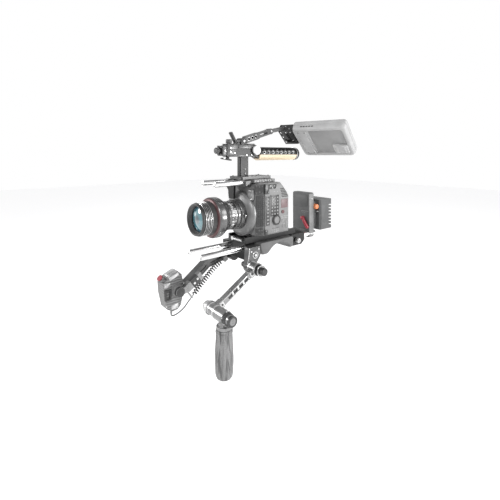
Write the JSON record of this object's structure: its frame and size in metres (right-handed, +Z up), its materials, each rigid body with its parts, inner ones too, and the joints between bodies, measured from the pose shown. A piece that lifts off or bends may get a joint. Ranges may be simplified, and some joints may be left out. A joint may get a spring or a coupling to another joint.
{
  "type": "cinema camera rig",
  "caption": "Shoulder-mounted digital cinema camera rig with lens, rod base plate, top handle, arm-mounted monitor, adjustable hand grips and rear battery.",
  "frame": {"origin": "on the flat underside of the front rod clamp, where a tripod head or quick-release plate holds the rig, midway between the rods and under the lens axis", "axes": "+Z up, -Y forward along the lens axis, +X to the operator's left"},
  "size_m": [0.3115, 0.574, 0.6206],
  "materials": {
    "black_anodised": "black anodised, satin",
    "grey_anodised": "grey anodised, satin",
    "grey_paint": "grey, fine texture",
    "pale_paint": "pale grey, fine texture",
    "polished_steel": "polished",
    "satin_aluminium": "satin",
    "black_rubber": "matt rubber",
    "grey_leather": "wrapped leather",
    "pale_wood": "oiled",
    "coated_glass": "coated, glossy",
    "red_plastic": "gloss"
  },
  "bodies": {
    "base": {"front_rod_clamp": "black_anodised", "rear_rod_clamp": "black_anodised", "base_plate": "black_anodised", "rod_lower_left": "polished_steel", "rod_lower_right": "polished_steel", "rod_rear_left": "polished_steel", "rod_rear_right": "polished_steel", "shoulder_pad": "black_rubber", "left_bracket": "grey_anodised", "right_bracket": "black_anodised", "battery_plate": "grey_paint"},
    "rear_knob": {"rear_clamp_knob": "satin_aluminium"},
    "plate_lever": {"plate_lock_lever": "satin_aluminium"},
    "camera": {"camera_plate": "black_anodised", "camera_body": "grey_paint", "control_panel": "pale_paint", "front_housing": "grey_anodised", "lens_barrel": "black_anodised", "front_barrel": "black_anodised", "front_glass": "coated_glass", "rod_bridge": "black_anodised", "rod_upper_left": "polished_steel", "rod_upper_right": "polished_steel", "rod_accessory_clamp": "black_anodised", "cage_plate": "black_anodised", "top_plate": "grey_anodised", "handle_riser": "grey_anodised", "handle_block": "grey_anodised", "arm_base": "black_anodised", "handle_core": "black_anodised", "handle_wood": "pale_wood"},
    "record_key": {"record_key": "red_plastic"},
    "menu_dial": {"menu_dial": "black_rubber"},
    "lock_ring": {"mount_lock_ring": "satin_aluminium"},
    "iris": {"iris_ring": "black_anodised"},
    "distance": {"distance_ring": "grey_anodised"},
    "focus": {"focus_ring": "grey_anodised"},
    "front_knob": {"front_clamp_knob": "grey_anodised"},
    "top_knob": {"top_lock_knob": "grey_anodised"},
    "release_lever": {"quick_release_lever": "black_anodised"},
    "arm_knob": {"arm_lock_knob": "satin_aluminium"},
    "arm": {"monitor_arm": "black_anodised"},
    "link": {"monitor_link": "satin_aluminium", "monitor_bracket": "black_anodised"},
    "monitor": {"monitor_shell": "pale_paint", "monitor_screen": "coated_glass"},
    "left_arm": {"left_arm": "grey_anodised"},
    "left_grip": {"left_grip_neck": "grey_anodised", "left_grip": "grey_leather"},
    "shoulder_button": {"shoulder_button": "satin_aluminium"},
    "elbow_button": {"elbow_button": "pale_paint"},
    "right_arm": {"right_arm": "grey_anodised", "cord_coil": "black_rubber"},
    "right_slider": {"right_slider": "grey_anodised", "cord_tail": "black_rubber"},
    "right_grip": {"right_grip": "grey_paint", "grip_strap_ring": "black_rubber"},
    "grip_button": {"grip_record_button": "red_plastic"},
    "battery": {"battery": "grey_paint"},
    "battery_latch": {"battery_latch": "red_plastic"}
  },
  "joints": [
    {"name": "rear_knob_turn", "type": "hinge", "parent": "base", "child": "rear_knob", "pos_m": [0.055, 0.183, 0.027], "axis": [1, 0, 0], "range_deg": [-90, 360]},
    {"name": "plate_lever_turn", "type": "hinge", "parent": "base", "child": "plate_lever", "pos_m": [-0.014, -0.016, 0.053], "axis": [0, -1, 0], "range_deg": [0, 45]},
    {"name": "camera_slide", "type": "slide", "parent": "base", "child": "camera", "axis": [0, 1, 0], "range_m": [-0.02, 0.03]},
    {"name": "record_key_press", "type": "slide", "parent": "camera", "child": "record_key", "axis": [-1, 0, 0], "range_m": [0, 0.0008], "stiffness_N_per_m": 600, "springref_m": -0.0004},
    {"name": "menu_dial_turn", "type": "hinge", "parent": "camera", "child": "menu_dial", "pos_m": [0.078, 0.069, 0.108], "axis": [1, 0, 0], "continuous": true},
    {"name": "lock_ring_turn", "type": "hinge", "parent": "camera", "child": "lock_ring", "pos_m": [0, -0.017, 0.123], "axis": [0, 1, 0], "range_deg": [0, 35]},
    {"name": "iris_turn", "type": "hinge", "parent": "camera", "child": "iris", "pos_m": [0, -0.032, 0.123], "axis": [0, 1, 0], "range_deg": [-60, 60]},
    {"name": "distance_turn", "type": "hinge", "parent": "camera", "child": "distance", "pos_m": [0, -0.05, 0.123], "axis": [0, 1, 0], "range_deg": [-60, 60]},
    {"name": "focus_turn", "type": "hinge", "parent": "camera", "child": "focus", "pos_m": [0, -0.09, 0.123], "axis": [0, 1, 0], "range_deg": [-150, 150]},
    {"name": "front_knob_turn", "type": "hinge", "parent": "camera", "child": "front_knob", "pos_m": [0, -0.079, 0.303], "axis": [0, 1, 0], "range_deg": [-90, 360]},
    {"name": "top_knob_turn", "type": "hinge", "parent": "camera", "child": "top_knob", "pos_m": [0, -0.04, 0.328], "axis": [0, 0, 1], "range_deg": [-90, 360]},
    {"name": "release_lever_turn", "type": "hinge", "parent": "camera", "child": "release_lever", "pos_m": [0, -0.018, 0.325], "axis": [0, 0, 1], "range_deg": [-60, 60]},
    {"name": "arm_knob_turn", "type": "hinge", "parent": "camera", "child": "arm_knob", "pos_m": [0.019, 0.046, 0.305], "axis": [1, 0, 0], "range_deg": [-90, 360]},
    {"name": "arm_lift", "type": "hinge", "parent": "camera", "child": "arm", "pos_m": [0, 0.003, 0.331], "axis": [1, 0, 0], "range_deg": [0, 60]},
    {"name": "link_tilt", "type": "hinge", "parent": "arm", "child": "link", "pos_m": [0, 0.113, 0.3635], "axis": [1, 0, 0], "range_deg": [0, 50]},
    {"name": "monitor_tilt", "type": "hinge", "parent": "link", "child": "monitor", "pos_m": [0.02876, 0.2047, 0.36056], "axis": [0.96, 0.28, 0], "range_deg": [-12, 40]},
    {"name": "left_shoulder", "type": "hinge", "parent": "base", "child": "left_arm", "pos_m": [0.07, -0.013, -0.011], "axis": [1, 0, 0], "range_deg": [-35, 40]},
    {"name": "left_elbow", "type": "hinge", "parent": "left_arm", "child": "left_grip", "pos_m": [0.1, -0.142, -0.084], "axis": [1, 0, 0], "range_deg": [-60, 60]},
    {"name": "shoulder_button_press", "type": "slide", "parent": "left_arm", "child": "shoulder_button", "axis": [-1, 0, 0], "range_m": [0, 0.0025], "stiffness_N_per_m": 700, "springref_m": -0.00125},
    {"name": "elbow_button_press", "type": "slide", "parent": "left_arm", "child": "elbow_button", "axis": [1, 0, 0], "range_m": [0, 0.0025], "stiffness_N_per_m": 700, "springref_m": -0.00125},
    {"name": "right_shoulder", "type": "hinge", "parent": "base", "child": "right_arm", "pos_m": [-0.07, 0.012, -0.008], "axis": [1, 0, 0], "range_deg": [-20, 30]},
    {"name": "right_extend", "type": "slide", "parent": "right_arm", "child": "right_slider", "axis": [0, -0.8129, -0.5824], "range_m": [0, 0.02]},
    {"name": "right_wrist", "type": "hinge", "parent": "right_slider", "child": "right_grip", "pos_m": [-0.065, -0.163, -0.078], "axis": [1, 0, 0], "range_deg": [-4, 25]},
    {"name": "grip_button_press", "type": "slide", "parent": "right_grip", "child": "grip_button", "axis": [0, 0.7071, -0.7071], "range_m": [0, 0.0015], "stiffness_N_per_m": 500, "springref_m": -0.00075},
    {"name": "battery_lift", "type": "slide", "parent": "base", "child": "battery", "axis": [0, 0, 1], "range_m": [0, 0.09]},
    {"name": "battery_latch_press", "type": "slide", "parent": "base", "child": "battery_latch", "axis": [0, 0, -1], "range_m": [0, 0.004], "stiffness_N_per_m": 400, "springref_m": -0.002}
  ]
}
